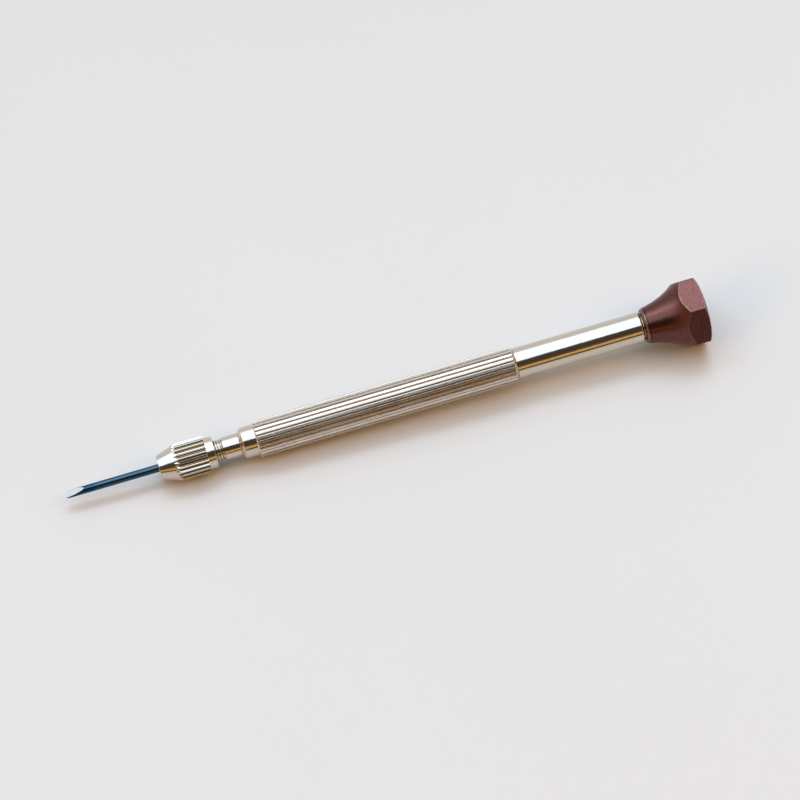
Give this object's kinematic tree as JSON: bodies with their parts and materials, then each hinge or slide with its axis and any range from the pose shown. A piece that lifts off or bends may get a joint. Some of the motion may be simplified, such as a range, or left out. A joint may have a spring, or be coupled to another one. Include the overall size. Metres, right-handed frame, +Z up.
{
  "type": "watchmaker screwdriver",
  "caption": "Slim precision screwdriver: round chisel blade held in a collet chuck, fluted metal grip, plain rear tube and a free-turning flared hexagonal head.",
  "frame": {"origin": "under the middle of the tool's length, on the plane of the head's lower flat", "axes": "+X along the tool from the blade tip to the head, +Z up, away from the flat the head lies on"},
  "size_m": [0.102, 0.0118, 0.0102],
  "materials": {
    "bright_nickel": "bright nickel plate on brass, mirror smooth",
    "frosted_nickel": "nickel plate over a fine blasted grain",
    "blued_steel": "temper-blued spring steel, tip ground bright",
    "spring_steel": "turned, oil-hardened",
    "hardened_steel": "ground and polished",
    "bearing_bronze": "turned bronze, oiled",
    "maroon_anodised": "maroon anodising over fine turning lines"
  },
  "bodies": {
    "handle": {"chuck_stem": "bright_nickel", "grip_barrel": "frosted_nickel", "rear_tube": "bright_nickel", "ball_seat": "hardened_steel", "thrust_ball": "hardened_steel", "tail_bush": "bearing_bronze", "thrust_washer": "bearing_bronze"},
    "head": {"head": "maroon_anodised", "spindle": "hardened_steel", "retaining_clip": "hardened_steel"},
    "collet": {"collet": "spring_steel"},
    "chuck_nut": {"chuck_nut": "bright_nickel"},
    "blade": {"blade": "blued_steel"}
  },
  "joints": [
    {"name": "head_spin", "type": "hinge", "parent": "handle", "child": "head", "pos_m": [0.04142, 0, 0.00507], "axis": [1, 0, 0], "continuous": true},
    {"name": "chuck_travel", "type": "slide", "parent": "handle", "child": "collet", "axis": [-1, 0, 0], "range_m": [0, 0.0009]},
    {"name": "nut_spin", "type": "hinge", "parent": "collet", "child": "chuck_nut", "pos_m": [-0.03632, 0, 0.00507], "axis": [-1, 0, 0], "range_deg": [0, 720]},
    {"name": "blade_slide", "type": "slide", "parent": "collet", "child": "blade", "axis": [-1, 0, 0], "range_m": [0, 0.006]}
  ],
  "couplings": [
    {"joint": "nut_spin", "follows": "chuck_travel", "rad_per_m": 13963}
  ]
}
